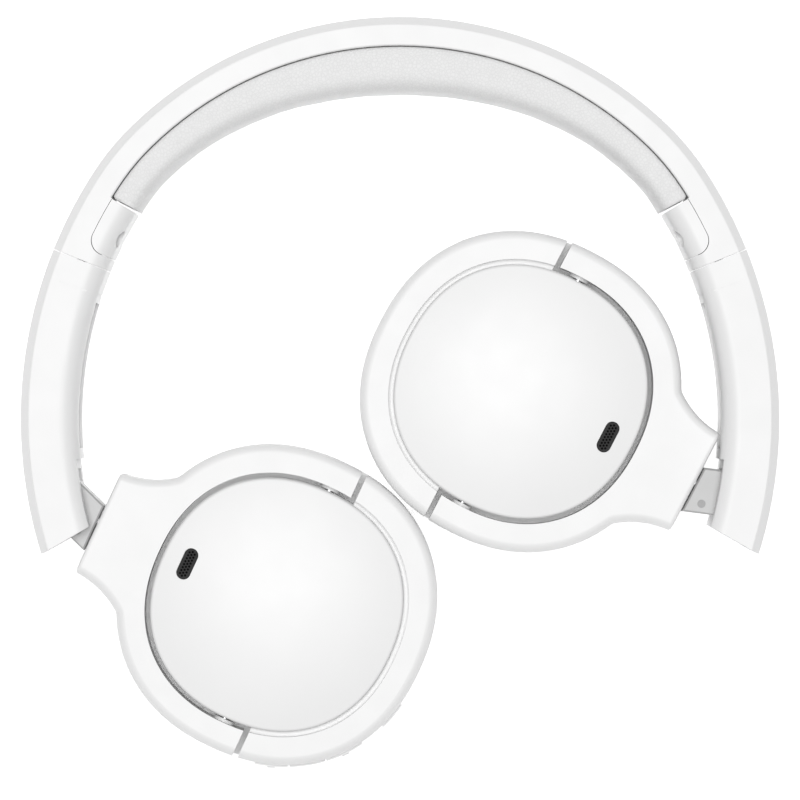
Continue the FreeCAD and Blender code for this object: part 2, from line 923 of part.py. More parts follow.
def key_angles():
    return {
        "key_volume_up": volume_up_angles,
        "key_play": play_angles,
        "key_volume_down": volume_down_angles,
        "key_power": power_angles,
    }


def cup_cap():
    """The outer plate of the cup: an upright edge under a shallow dome."""
    dome_radius = (cap_radius**2 + cap_rise**2) / (2 * cap_rise)
    top = cap_edge + cap_rise
    ball = Part.makeSphere(dome_radius, Vector(cup_reach, swivel_offset, top - dome_radius))
    cap = disc(cap_radius - cap_gap, cap_seat, top + 1).common(ball)
    rim = [e for e in cap.Edges if e.BoundBox.ZMin > cap_seat + 1.0]
    cap = cap.makeFillet(cap_round, [e for e in rim if e.Length > 20.0])
    hollow = pillar(cup_reach, swivel_offset, cap_hollow_radius, cap_seat - 1, cap_seat + cap_hollow_depth)
    return cap.cut(hollow).cut(mic_form(0.0, 3.0)).removeSplitter()


def mic_form(gap, top_extra):
    """A pill across the cap, sunk into the dome."""
    length = mic_length / 2 - gap
    width = mic_width / 2 - gap
    x = cup_reach - mic_along
    points = [(x - width, length), (x - width, -length), (x + width, -length), (x + width, length)]
    floor = mic_surface() - mic_depth
    corners = [Vector(px, swivel_offset + py, floor) for px, py in points]
    return prism(rounded_wire(corners, [width * mic_roundness] * 4), mic_depth + top_extra)


def mic_surface():
    """Height of the dome at the microphone."""
    dome_radius = (cap_radius**2 + cap_rise**2) / (2 * cap_rise)
    drop = dome_radius - math.sqrt(dome_radius**2 - mic_along**2)
    return cap_edge + cap_rise - drop


def mic_mesh():
    return mic_form(mic_gap, -mic_sink)


def baffle():
    top = flange_bottom + baffle_thickness
    plate = disc(wall_inside - baffle_gap, flange_bottom, top)
    centre = Vector(cup_reach, swivel_offset, 0)
    holes = [pillar(centre.x, centre.y, baffle_hole_radius, flange_bottom - 1, top + 1)]
    for ring, radius in enumerate(baffle_ring_radii):
        count = 6 * (ring + 1)
        for i in range(count):
            place = centre + polar(360.0 * i / count) * radius
            holes.append(pillar(place.x, place.y, baffle_hole_radius, flange_bottom - 1, top + 1))
    for spot in screw_spots():
        holes.append(pillar(spot.x, spot.y, screw_shank_radius + pin_clearance, -20, 0))
        holes.append(screw_head(spot, screw_head_radius + pin_clearance))
    return plate.cut(Part.makeCompound(holes))


def screw_head(spot, radius):
    return pillar(spot.x, spot.y, radius, flange_bottom, flange_bottom + baffle_screw_head)


def baffle_screws():
    """Flat heads let into the baffle, hidden by the cushion."""
    screws = []
    low = flange_bottom
    for spot in screw_spots():
        shank = pillar(spot.x, spot.y, screw_shank_radius, low, low + baffle_screw_length)
        screws.append(screw_head(spot, screw_head_radius).fuse(shank))
    return Part.makeCompound(screws)


def driver_frame():
    low = flange_bottom + baffle_thickness
    cup = pillar(cup_reach, swivel_offset, driver_radius, low, low + driver_depth)
    room_radius = driver_radius - driver_wall
    room_top = low + driver_depth - driver_wall
    room = pillar(cup_reach, swivel_offset, room_radius, low - 1, room_top)
    return cup.cut(room)


def driver_magnet():
    low = flange_bottom + baffle_thickness + driver_depth
    return pillar(cup_reach, swivel_offset, magnet_radius, low, low + magnet_depth)


def driver_diaphragm():
    """A thin domed cone inside the driver frame."""
    low = flange_bottom + baffle_thickness + 0.05
    radius = (diaphragm_radius**2 + diaphragm_rise**2) / (2 * diaphragm_rise)
    centre = Vector(cup_reach, swivel_offset, low + diaphragm_rise - radius)
    outer = Part.makeSphere(radius, centre)
    inner = Part.makeSphere(radius - 0.3, centre)
    return outer.cut(inner).common(pillar(cup_reach, swivel_offset, 60, low, low + 5))


def scrim():
    top = flange_bottom - 0.05
    return pillar(cup_reach, swivel_offset, scrim_radius, top - scrim_thickness, top)


def ear_cushion():
    """A closed ring with soft edges: wide outside, a smaller round inside."""
    top = flange_bottom - cushion_gap
    low = -swivel_height
    outer = disc(cushion_radius, low, top)
    outer = outer.makeFillet(cushion_round, level_edges(outer, low))
    outer = outer.makeFillet(cushion_top_round, level_edges(outer, top))
    ring = outer.cut(pillar(cup_reach, swivel_offset, cushion_hole, low - 1, top + 1))
    mouth = [e for e in level_edges(ring, low) if abs(e.BoundBox.XLength - 2 * cushion_hole) < 0.01]
    return ring.makeFillet(cushion_hole_round, mouth)


def battery():
    x, y, z = battery_size
    top = cap_seat + cap_hollow_depth - board_gap
    left = cup_reach - x / 2
    near = swivel_offset - y / 2
    return block(left, left + x, near, near + y, top - z, top)


def circuit_board():
    x, y, z = board_size
    low = flange_bottom + baffle_thickness + driver_depth + magnet_depth + board_gap
    return block(
        cup_reach - x / 2, cup_reach + x / 2, swivel_offset - y / 2, swivel_offset + y / 2, low, low + z
    )


def placed(shape, left):
    """Brings a cup part from its own frame to its folded place on the left or the right."""
    result = shape.copy()
    if left:
        result = result.mirror(Vector(0, 0, 0), Vector(0, 1, 0))
        angle = fold_left - arm_end_angle
        side = -1
    else:
        angle = 180.0 - fold_right + arm_end_angle
        side = 1
    result.rotate(Vector(0, 0, 0), z_axis, angle)
    result.translate(Vector(side * pivot().x, pivot().y, swivel_height))
    return result


def sided(name, shape, parts):
    parts[name + "_right"] = shape
    parts[name + "_left"] = mirrored(shape)


def cup_parts(left):
    return {
        "hinge_knuckle": hinge_knuckle(),
        "marker_pin": marker_pin(),
        "swivel_shaft": swivel_shaft(),
        "swivel_clip": swivel_clip(),
        "yoke": yoke(),
        "tilt_pins": tilt_pins(),
        "cup_housing": cup_housing(left),
        "cup_cap": cup_cap(),
        "mic_mesh": mic_mesh(),
        "baffle": baffle(),
        "baffle_screws": baffle_screws(),
        "driver_frame": driver_frame(),
        "driver_magnet": driver_magnet(),
        "driver_diaphragm": driver_diaphragm(),
        "scrim": scrim(),
        "ear_cushion": ear_cushion(),
    }


def left_only_parts():
    angles = key_angles()
    return {
        "key_volume_up": key(angles["key_volume_up"], True),
        "key_play": key(angles["key_play"], False),
        "key_volume_down": key(angles["key_volume_down"], True),
        "key_power": key(angles["key_power"], False),
        "charge_port": charge_port(),
        "status_light": status_light(),
        "circuit_board": circuit_board(),
    }


def main():
    os.makedirs("parts", exist_ok=True)
    parts = {
        "headband_shell": headband_shell(),
        "band_liner": band_liner(),
        "spring_band": spring_band(),
        "head_pad": head_pad(),
    }
    screws = [lifted(cover_screw(place)) for place in screw_places()]
    parts["cover_screws"] = Part.makeCompound(screws + [mirrored(screw) for screw in screws])
    sided("end_cover", end_cover(), parts)
    sided("arm_shell", arm_shell(), parts)
    sided("arm_cover", arm_cover(), parts)
    sided("slider_strip", slider_strip(), parts)
    sided("fold_pin", lifted(pin_form()), parts)
    for side, left in (("left", True), ("right", False)):
        for name, shape in cup_parts(left).items():
            parts[name + "_" + side] = placed(shape, left)
    for name, shape in left_only_parts().items():
        parts[name] = placed(shape, True)
    parts["battery"] = placed(battery(), False)
    for name, shape in parts.items():
        shape.exportStep("parts/" + name + ".step")
        solids = len(shape.Solids)
        print(name, "solids", solids, "valid", shape.isValid(), "volume", round(shape.Volume, 1))
    whole = Part.makeCompound(list(parts.values())).optimalBoundingBox()
    limits = (whole.XMin, whole.XMax, whole.YMin, whole.YMax, whole.ZMin, whole.ZMax)
    print("box", [round(value, 3) for value in limits])


main()
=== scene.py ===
import json
import math

import bmesh
import bpy
import numpy as np
from bpy.props import FloatProperty, FloatVectorProperty, IntProperty, PointerProperty
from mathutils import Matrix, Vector
from mathutils.bvhtree import BVHTree


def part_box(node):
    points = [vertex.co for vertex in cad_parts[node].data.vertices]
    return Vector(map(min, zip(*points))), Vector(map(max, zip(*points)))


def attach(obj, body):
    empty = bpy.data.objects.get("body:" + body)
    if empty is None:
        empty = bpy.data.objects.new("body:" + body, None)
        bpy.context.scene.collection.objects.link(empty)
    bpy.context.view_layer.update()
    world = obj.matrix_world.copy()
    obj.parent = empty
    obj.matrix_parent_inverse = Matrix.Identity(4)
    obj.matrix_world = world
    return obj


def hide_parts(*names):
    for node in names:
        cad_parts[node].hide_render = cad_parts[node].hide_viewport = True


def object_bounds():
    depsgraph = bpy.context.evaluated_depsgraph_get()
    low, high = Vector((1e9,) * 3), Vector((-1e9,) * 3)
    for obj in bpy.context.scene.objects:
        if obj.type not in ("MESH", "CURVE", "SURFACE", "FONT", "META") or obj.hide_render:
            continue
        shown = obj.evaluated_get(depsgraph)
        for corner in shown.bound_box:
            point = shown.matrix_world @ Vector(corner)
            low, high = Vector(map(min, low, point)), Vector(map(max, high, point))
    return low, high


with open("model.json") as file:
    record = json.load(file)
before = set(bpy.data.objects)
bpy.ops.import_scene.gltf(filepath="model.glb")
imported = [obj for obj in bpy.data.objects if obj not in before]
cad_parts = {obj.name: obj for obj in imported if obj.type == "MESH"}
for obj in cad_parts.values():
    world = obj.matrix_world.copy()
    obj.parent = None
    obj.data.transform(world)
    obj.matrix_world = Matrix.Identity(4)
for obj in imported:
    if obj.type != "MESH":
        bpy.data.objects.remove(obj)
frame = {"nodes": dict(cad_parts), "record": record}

bl_info = {
    "name": "Folding Headphones",
    "version": (1, 0, 0),
    "blender": (4, 5, 0),
    "location": "View3D > Sidebar > Headphones",
    "description": "Dresses the packed frame of folding over-ear headphones",
    "category": "Object",
}

MM = 0.001
CAD_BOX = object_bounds()
SIDES = ("left", "right")


# ---- node materials


class Finish:
    """Builds one node material around a Principled shader, in the piece's own metres."""

    def __init__(self, name, colour, roughness, **sockets):
        self.material = bpy.data.materials.new(name)
        self.material.use_nodes = True
        self.tree = self.material.node_tree
        self.shader = self.tree.nodes["Principled BSDF"]
        self.shader.inputs["Base Color"].default_value = (*colour, 1.0)
        self.shader.inputs["Roughness"].default_value = roughness
        for socket, value in sockets.items():
            self.shader.inputs[socket.replace("_", " ")].default_value = value
        self.place = self.tree.nodes.new("ShaderNodeTexCoord").outputs["Object"]
        self.colour = colour

    def node(self, kind, inputs=(), **settings):
        """Adds a node; each input is a value or another node's output."""
        made = self.tree.nodes.new(kind)
        for setting, value in settings.items():
            setattr(made, setting, value)
        for socket, value in dict(inputs).items():
            if isinstance(value, bpy.types.NodeSocket):
                self.tree.links.new(value, made.inputs[socket])
            else:
                made.inputs[socket].default_value = value
        return made

    def stretched(self, scale):
        """The piece's place, stretched by three factors."""
        mapping = self.node("ShaderNodeMapping", {"Vector": self.place, "Scale": scale})
        return mapping.outputs["Vector"]

    def noise(self, size, detail=3.0, place=None):
        """Noise with features of one size, in metres."""
        inputs = {"Vector": place or self.place, "Scale": 1.0 / size}
        inputs.update({"Detail": detail, "Roughness": 0.5})
        return self.node("ShaderNodeTexNoise", inputs).outputs["Fac"]

    def cells(self, size, feature="F1", place=None):
        """Distances within cells of one size, in metres."""
        inputs = {"Vector": place or self.place, "Scale": 1.0 / size}
        return self.node("ShaderNodeTexVoronoi", inputs, feature=feature).outputs["Distance"]

    def spread(self, value, low, high, to_low=0.0, to_high=1.0):
        """Moves the range low to high onto another one."""
        inputs = {"Value": value, "From Min": low, "From Max": high}
        inputs.update({"To Min": to_low, "To Max": to_high})
        return self.node("ShaderNodeMapRange", inputs).outputs["Result"]

    def math(self, operation, first, second):
        return self.node("ShaderNodeMath", {0: first, 1: second}, operation=operation).outputs[0]

    def tint(self, factor, other):
        """Blends the base colour towards another by a factor that varies over the surface."""
        mix = self.node("ShaderNodeMix", {"Factor": factor}, data_type="RGBA")
        for socket in mix.inputs:
            if socket.type == "RGBA" and socket.name == "A":
                socket.default_value = (*self.colour, 1.0)
            if socket.type == "RGBA" and socket.name == "B":
                socket.default_value = (*other, 1.0)
        result = next(socket for socket in mix.outputs if socket.type == "RGBA")
        self.tree.links.new(result, self.shader.inputs["Base Color"])

    def gloss(self, factor, low, high):
        """Lets the roughness wander between two values."""
        wandering = self.spread(factor, 0.3, 0.7, low, high)
        self.tree.links.new(wandering, self.shader.inputs["Roughness"])

    def relief(self, height, depth, strength=1.0, under=None):
        """Bump of one depth, in metres, on top of another bump if one is given."""
        inputs = {"Height": height, "Distance": depth, "Strength": strength}
        if under is not None:
            inputs["Normal"] = under
        normal = self.node("ShaderNodeBump", inputs).outputs["Normal"]
        for link in list(self.shader.inputs["Normal"].links):
            self.tree.links.remove(link)
        self.tree.links.new(normal, self.shader.inputs["Normal"])
        return normal


def moulded_plastic(name, colour, roughness):
    """Moulded plastic with a spark-eroded grain and a faint cloudiness."""
    grain, depth = 0.12 * MM, 0.004 * MM
    finish = Finish(name, colour, roughness, Specular_IOR_Level=0.45)
    cloud = finish.noise(0.018, detail=2.0)
    finish.tint(finish.spread(cloud, 0.35, 0.7), [c * 0.99 for c in colour])
    finish.gloss(finish.noise(0.006), roughness - 0.015, roughness + 0.02)
    swell = finish.relief(finish.noise(0.004, detail=1.0), depth * 3, 0.25)
    finish.relief(finish.noise(grain, detail=4.0), depth, 0.8, under=swell)
    return finish.material


def soft_leather(name, colour, pebble, depth, roughness):
    """Imitation leather: pebbles parted by fine creases, over slow creasing of the skin."""
    shine = {"Specular_IOR_Level": 0.4, "Sheen_Weight": 0.12, "Sheen_Roughness": 0.5}
    finish = Finish(name, colour, roughness, **shine)
    inputs = {"Vector": finish.place, "Scale": 0.5 / pebble, "Detail": 2.0}
    warp = finish.node("ShaderNodeTexNoise", inputs).outputs["Color"]
    inputs = {0: warp, "Scale": pebble * 0.9}
    bend = finish.node("ShaderNodeVectorMath", inputs, operation="SCALE").outputs[0]
    inputs = {0: finish.place, 1: bend}
    moved = finish.node("ShaderNodeVectorMath", inputs, operation="ADD").outputs[0]
    crease = finish.cells(pebble, feature="DISTANCE_TO_EDGE", place=moved)
    pebbles = finish.spread(crease, 0.0, 0.28)
    finish.tint(finish.spread(pebbles, 0.0, 0.5, 0.55, 0.0), [c * 0.86 for c in colour])
    finish.gloss(finish.noise(0.004), roughness - 0.06, roughness + 0.08)
    creasing = finish.relief(finish.noise(0.0028, detail=4.0), depth * 2.5, 0.45)
    pores = finish.relief(finish.noise(pebble * 0.3, detail=2.0), depth * 0.4, 0.5, under=creasing)
    finish.relief(pebbles, depth, 0.9, under=pores)
    return finish.material


def bare_metal(name, colour, roughness, along=(1, 1, 30)):
    """Metal with fine marks drawn out in one direction."""
    finish = Finish(name, colour, roughness, Metallic=1.0)
    marks = finish.noise(0.0006, detail=4.0, place=finish.stretched(along))
    finish.tint(finish.spread(marks, 0.3, 0.75), [c * 0.8 for c in colour])
    finish.gloss(marks, roughness - 0.06, roughness + 0.14)
    finish.relief(marks, 0.000004, 0.5)
    return finish.material


def satin_paint(name, colour, roughness, shine=0.5):
    """A thin satin coat with a little orange peel."""
    finish = Finish(name, colour, roughness, Specular_IOR_Level=shine)
    finish.tint(finish.spread(finish.noise(0.002), 0.3, 0.7), [c * 0.85 for c in colour])
    finish.relief(finish.noise(0.0004, detail=2.0), 0.000006, 0.5)
    return finish.material


def woven_cloth(name, colour, thread, sheen=0.3, shine=0.5):
    """A tight plain weave."""
    finish = Finish(name, colour, 0.85, Sheen_Weight=sheen, Specular_IOR_Level=shine)
    waves = []
    for direction in ("X", "Y"):
        inputs = {"Vector": finish.place, "Scale": 0.16 / thread, "Distortion": 0.4}
        wave = finish.node("ShaderNodeTexWave", inputs, bands_direction=direction)
        waves.append(wave.outputs["Fac"])
    weave = finish.math("MAXIMUM", waves[0], waves[1])
    finish.tint(finish.spread(weave, 0.2, 1.0, 1.0, 0.0), [c * 0.35 for c in colour])
    finish.relief(weave, thread * 0.4, 0.8)
    return finish.material


def circuit_mask(name, colour):
    """Solder mask with buried tracks and tinned pads."""
    finish = Finish(name, colour, 0.35, Coat_Weight=0.4, Coat_Roughness=0.15)
    inputs = {"Vector": finish.place, "Scale": 260.0, "Mortar Size": 0.04}
    bricks = finish.node("ShaderNodeTexBrick", inputs).outputs["Fac"]
    pads = finish.spread(finish.cells(0.003), 0.12, 0.16, 1.0, 0.0)
    finish.tint(finish.math("MULTIPLY", bricks, 0.6), (0.16, 0.42, 0.2))
    finish.relief(finish.math("MAXIMUM", bricks, pads), 0.00004, 0.8)
    return finish.material


def clear_film(name, colour):
    """A thin plastic film with fine ripples."""
    finish = Finish(name, colour, 0.22, Coat_Weight=0.5)
    ripple = finish.noise(0.0012, detail=2.0)
    finish.tint(finish.spread(ripple, 0.3, 0.7), [c * 0.8 for c in colour])
    finish.relief(ripple, 0.00003, 0.6)
    return finish.material


def wrapped_foil(name, colour):
    """Foil creased around a cell."""
    finish = Finish(name, colour, 0.38, Metallic=0.6)
    folds = finish.noise(0.005, detail=5.0)
    finish.tint(finish.spread(folds, 0.3, 0.7), [c * 0.7 for c in colour])
    finish.relief(folds, 0.0001, 0.5)
    return finish.material


def clear_lens(name, colour):
    """A small hazy light window."""
    finish = Finish(name, colour, 0.12, Transmission_Weight=0.35, Coat_Weight=0.6)
    haze = finish.noise(0.0003)
    finish.tint(finish.spread(haze, 0.3, 0.7), [c * 0.9 for c in colour])
    finish.relief(haze, 0.000005, 0.4)
    return finish.material


# ---- reading the frame and making meshes


def tree_of(node):
    """A search tree of a frame node's faces, for casting rays."""
    mesh = frame["nodes"][node].data
    points = [v.co.copy() for v in mesh.vertices]
    return BVHTree.FromPolygons(points, [tuple(p.vertices) for p in mesh.polygons])


def dress(obj, material):
    """Gives the whole object one material."""
    obj.data.materials.clear()
    obj.data.materials.append(material)
    for polygon in obj.data.polygons:
        polygon.material_index = 0


def grid_piece(name, rings, material, closed_rows=False):
    """A mesh through rows of closed sections, with its ends capped or its rows joined."""
    rows, around = len(rings), len(rings[0])
    points = [point for ring in rings for point in ring]
    faces = []
    for i in range(rows if closed_rows else rows - 1):
        following = (i + 1) % rows
        for j in range(around):
            k = (j + 1) % around
            near, far = i * around, following * around
            faces.append((near + j, near + k, far + k, far + j))
    if not closed_rows:
        faces.append(tuple(reversed(range(around))))
        faces.append(tuple((rows - 1) * around + j for j in range(around)))
    mesh = bpy.data.meshes.new(name)
    mesh.from_pydata([tuple(p) for p in points], [], faces)
    made = bmesh.new()
    made.from_mesh(mesh)
    bmesh.ops.recalc_face_normals(made, faces=made.faces)
    made.to_mesh(mesh)
    made.free()
    for polygon in mesh.polygons:
        polygon.use_smooth = True
    mesh.materials.append(material)
    piece = bpy.data.objects.new(name, mesh)
    bpy.context.scene.collection.objects.link(piece)
    return piece


def ripples(generator, count, shortest, longest):
    """Random waves for puckers: (radians per metre, phase, share)."""
    waves = []
    for i in range(count):
        length = shortest + (longest - shortest) * generator.random()
        phase = 2 * math.pi * generator.random()
        share = 0.4 + 0.6 * generator.random()
        waves.append((2 * math.pi / length, phase, share))
    return waves


def rippled(waves, along):
    """Height of the waves, within -1 to 1, at a distance."""
    heights = [share * math.sin(rate * along + phase) for rate, phase, share in waves]
    return sum(heights) / len(waves)


def lumpy(generator, rows, columns, passes, wrap_rows=False):
    """Smooth random numbers on a grid, about 0, for the unevenness of stuffed leather."""
    field = generator.standard_normal((rows, columns))
    for i in range(passes):
        up, down = np.roll(field, 1, 0), np.roll(field, -1, 0)
        left, right = np.roll(field, 1, 1), np.roll(field, -1, 1)
        if not wrap_rows:
            up[0], down[-1] = field[0], field[-1]
        field = (field * 2 + up + down + left + right) / 6
    return field / max(1e-9, np.abs(field).max())


# ---- head pad


RAY_REACH = 0.2
SEAT_FACING = 0.8
END_STEP = 1e-4
SMOOTHING = 9
SKIN = 0.3 * MM

# Shape of the pad's section: where it is widest, and how square its corners are.
PAD_WIDEST = 0.34
PAD_SIDE_POWER = 0.4
PAD_FACE_POWER = 0.5
PAD_SEAT_POWER = 0.06
PAD_SEAT_FALL = 0.7

# Room left around the pad, and how its gathers grow towards its ends.
PAD_ROOM = 0.12 * MM
PAD_SEAT_ROOM = 0.05 * MM
GATHER_LENGTHS = (1.6 * MM, 4.5 * MM)
GATHER_SLANT = 0.35
GATHER_MIDDLE = 0.35
GATHER_END = 1.3
GATHER_REACH = 14 * MM


class HeadPadSettings(bpy.types.PropertyGroup):
    stations: IntProperty(
        name="Stations",
        description="Sections along the pad",
        default=420,
        min=60,
    )
    around: IntProperty(
        name="Around",
        description="Points around each section",
        default=84,
        min=24,
    )
    crown: FloatProperty(
        name="Crown",
        description="How far the middle stands above the edges",
        default=0.3 * MM,
        unit="LENGTH",
    )
    side_pull: FloatProperty(
        name="Side pull",
        description="How far the sides pull in at the band",
        default=0.15 * MM,
        unit="LENGTH",
    )
    pucker: FloatProperty(
        name="Pucker",
        description="Height of the gathers beside the seam",
        default=0.16 * MM,
        unit="LENGTH",
    )
    lump: FloatProperty(
        name="Lump",
        description="Unevenness of the stuffing",
        default=0.14 * MM,
        unit="LENGTH",
    )
    end_round: FloatProperty(
        name="End round",
        description="Rounding of the pad's two ends",
        default=0.6 * MM,
        unit="LENGTH",
    )
    colour: FloatVectorProperty(
        name="Colour",
        description="Leather colour",
        subtype="COLOR",
        default=(0.8, 0.8, 0.8),
    )
    pebble: FloatProperty(
        name="Pebble",
        description="Size of the leather's pebbles",
        default=0.75 * MM,
        unit="LENGTH",
    )


def pad_hit(tree, centre, angle):
    """The pad's seat at an angle, hit from outside, or None beyond its ends."""
    direction = Vector((math.cos(angle), math.sin(angle), 0.0))
    far = centre + direction * RAY_REACH
    point, normal, index, distance = tree.ray_cast(far, -direction)
    if point is None or abs(normal.dot(direction)) < SEAT_FACING:
        return None
    return point


def pad_end(tree, centre):
    """The angle at which the pad's right end begins."""
    low, high = 0.0, math.pi / 2
    for i in range(30):
        middle = (low + high) / 2
        if pad_hit(tree, centre, middle) is None:
            low = middle
        else:
            high = middle
    return high + END_STEP


def pad_path(count):
    """Seat point, inward direction, thickness and distance along the seat, at even steps."""
    tree = tree_of("head_pad")
    lowest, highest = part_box("head_pad")
    centre = Vector((0.0, 0.0, (lowest.z + highest.z) / 2))
    start = pad_end(tree, centre)
    angles = np.linspace(start, math.pi - start, count)
    seats = np.array([pad_hit(tree, centre, angle) for angle in angles])
    window = np.ones(SMOOTHING) / SMOOTHING
    tangents = np.gradient(seats, axis=0)
    for axis in range(2):
        padded = np.pad(tangents[:, axis], SMOOTHING // 2, mode="reflect", reflect_type="odd")
        tangents[:, axis] = np.convolve(padded, window, mode="valid")
    inward = np.stack([-tangents[:, 1], tangents[:, 0], np.zeros(count)], axis=1)
    inward /= np.linalg.norm(inward, axis=1)[:, None]
    depths = []
    for seat, way in zip(seats, inward):
        start_point = Vector(seat) + Vector(way) * SKIN
        distance = tree.ray_cast(start_point, Vector(way))[3]
        depths.append(depths[-1] if distance is None else distance + SKIN)
    steps = np.linalg.norm(np.diff(seats, axis=0), axis=1)
    along = np.concatenate([[0.0], np.cumsum(steps)])
    return seats, inward, np.array(depths), along


def pad_section(half_width, depth, size):
    """(across, depth) around the pad: square on its seat, rounded and crowned inside."""
    section = []
    widest = PAD_WIDEST * depth
    for i in range(size.around):
        turn = 2 * math.pi * i / size.around - math.pi / 2
        c, s = math.cos(turn), math.sin(turn)
        if s >= 0:
            across = half_width * math.copysign(abs(c) ** PAD_SIDE_POWER, c)
            rise = size.crown * (1 - (across / half_width) ** 2)
            down = widest + (depth - widest) * s**PAD_FACE_POWER + rise * s
        else:
            across = half_width * math.copysign(abs(c) ** PAD_SEAT_POWER, c)
            share = abs(s) ** PAD_SEAT_FALL
            down = widest * (1 - share)
            across *= 1 - size.side_pull / half_width * share**3
        section.append((across, down))
    return section


def end_inset(from_end, end_round):
    """How far the pad draws in near its rounded ends."""
    if from_end >= end_round:
        return 0.0
    return end_round - math.sqrt(end_round**2 - (end_round - from_end) ** 2)


def pad_place(seat, way, across, down, depth, half, inset, swell):
    """(x, y, height from the middle) of one point of the pad."""
    edge = (abs(across) / half) ** 3
    shrink = 1 - (inset + PAD_ROOM - swell * edge) / half
    squeezed = (down - depth / 2) * (1 - 2 * inset / depth)
    deep = depth / 2 + squeezed + swell * (1 - edge)
    point = Vector(seat) + Vector(way) * max(deep, PAD_SEAT_ROOM + inset)
    return point.x, point.y, across * shrink


class HEADPHONES_OT_head_pad(bpy.types.Operator):
    """Build the padded leather under the band"""

    bl_idname = "headphones.head_pad"
    bl_label = "Head Pad"

    def execute(self, context):
        size = context.scene.head_pad
        lowest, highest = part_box("head_pad")
        half = (highest.z - lowest.z) / 2
        middle = (highest.z + lowest.z) / 2
        seats, inward, depths, along = pad_path(size.stations)
        generator = np.random.default_rng(11)
        gathers = [ripples(generator, 5, *GATHER_LENGTHS) for i in range(2)]
        lumps = lumpy(generator, size.stations, size.around, 60)
        rings = []
        for i, (seat, way, depth, place) in enumerate(zip(seats, inward, depths, along)):
            from_end = min(place, along[-1] - place)
            inset = end_inset(from_end, size.end_round)
            gather = GATHER_MIDDLE + GATHER_END * math.exp(-from_end / GATHER_REACH)
            ring = []
            for j, (across, down) in enumerate(pad_section(half, depth, size)):
                edge = (abs(across) / half) ** 3
                side = 0 if across > 0 else 1
                wave = rippled(gathers[side], place + GATHER_SLANT * down)
                swell = size.pucker * wave * edge * gather * min(1.0, 3 * down / depth)
                swell += size.lump * lumps[i, j] * min(1.0, 4 * down / depth)
                x, y, rise = pad_place(seat, way, across, down, depth, half, inset, swell)
                ring.append((x, y, middle + rise))
            rings.append(ring)
        leather = soft_leather("pad_leather", size.colour, size.pebble, 0.00005, 0.55)
        pad = grid_piece("head_pad_leather", rings, leather)
        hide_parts("head_pad")
        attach(pad, "headband")
        return {"FINISHED"}


# ---- ear cushions


CUSHION_REACH = 0.1
CUSHION_ROOM = 0.15 * MM
CUSHION_SEAMS = (0.07 * math.pi, 1.16 * math.pi)
CUSHION_GATHERS = (1.5 * MM, 5.0 * MM)
PLAIN_GATHER = 0.2

# How square the section's corners are: across and up, on the table's side and the cup's side.
TABLE_POWERS = (0.74, 0.78)
CUP_POWERS = (0.5, 0.42)


class EarCushionSettings(bpy.types.PropertyGroup):
    stations: IntProperty(
        name="Stations",
        description="Sections around the ring",
        default=360,
        min=60,
    )
    around: IntProperty(
        name="Around",
        description="Points around each section",
        default=132,
        min=24,
    )
    pucker: FloatProperty(
        name="Pucker",
        description="Height of the gathers beside the seams",
        default=0.22 * MM,
        unit="LENGTH",
    )
    lump: FloatProperty(
        name="Lump",
        description="Unevenness of the foam",
        default=0.16 * MM,
        unit="LENGTH",
    )
    seam: FloatProperty(
        name="Seam",
        description="Depth of the sewn seams",
        default=0.7 * MM,
        unit="LENGTH",
    )
    seam_width: FloatProperty(
        name="Seam width",
        description="Width of the dip at a seam",
        default=0.75 * MM,
        unit="LENGTH",
    )
    colour: FloatVectorProperty(
        name="Colour",
        description="Leather colour",
        subtype="COLOR",
        default=(0.8, 0.8, 0.8),
    )
    pebble: FloatProperty(
        name="Pebble",
        description="Size of the leather's pebbles",
        default=0.45 * MM,
        unit="LENGTH",
    )


def cushion_reach(tree, centre, angle):
    """Hole radius and outer reach of a cushion at an angle."""
    direction = Vector((math.cos(angle), math.sin(angle), 0.0))
    inner = tree.ray_cast(centre, direction)[3]
    outside = centre + direction * CUSHION_REACH
    outer = CUSHION_REACH - tree.ray_cast(outside, -direction)[3]
    return inner, outer


def cushion_section(inner, outer, height, size):
    """(reach, z, outward share, upward share, seam share) around the ring's section."""
    middle = (inner + outer) / 2
    half = (outer - inner) / 2
    points = []
    for i in range(size.around):
        turn = 2 * math.pi * i / size.around
        c, s = math.cos(turn), math.sin(turn)
        side_power, rise_power = TABLE_POWERS if s < 0 else CUP_POWERS
        reach = half * math.copysign(abs(c) ** side_power, c)
        rise = height / 2 * math.copysign(abs(s) ** rise_power, s)
        dip = 0.0
        for seam in CUSHION_SEAMS:
            apart = abs((turn - seam + math.pi) % (2 * math.pi) - math.pi)
            dip += math.exp(-((apart * half / size.seam_width) ** 2))
        points.append((middle + reach, height / 2 + rise, c, s, dip))
    return points


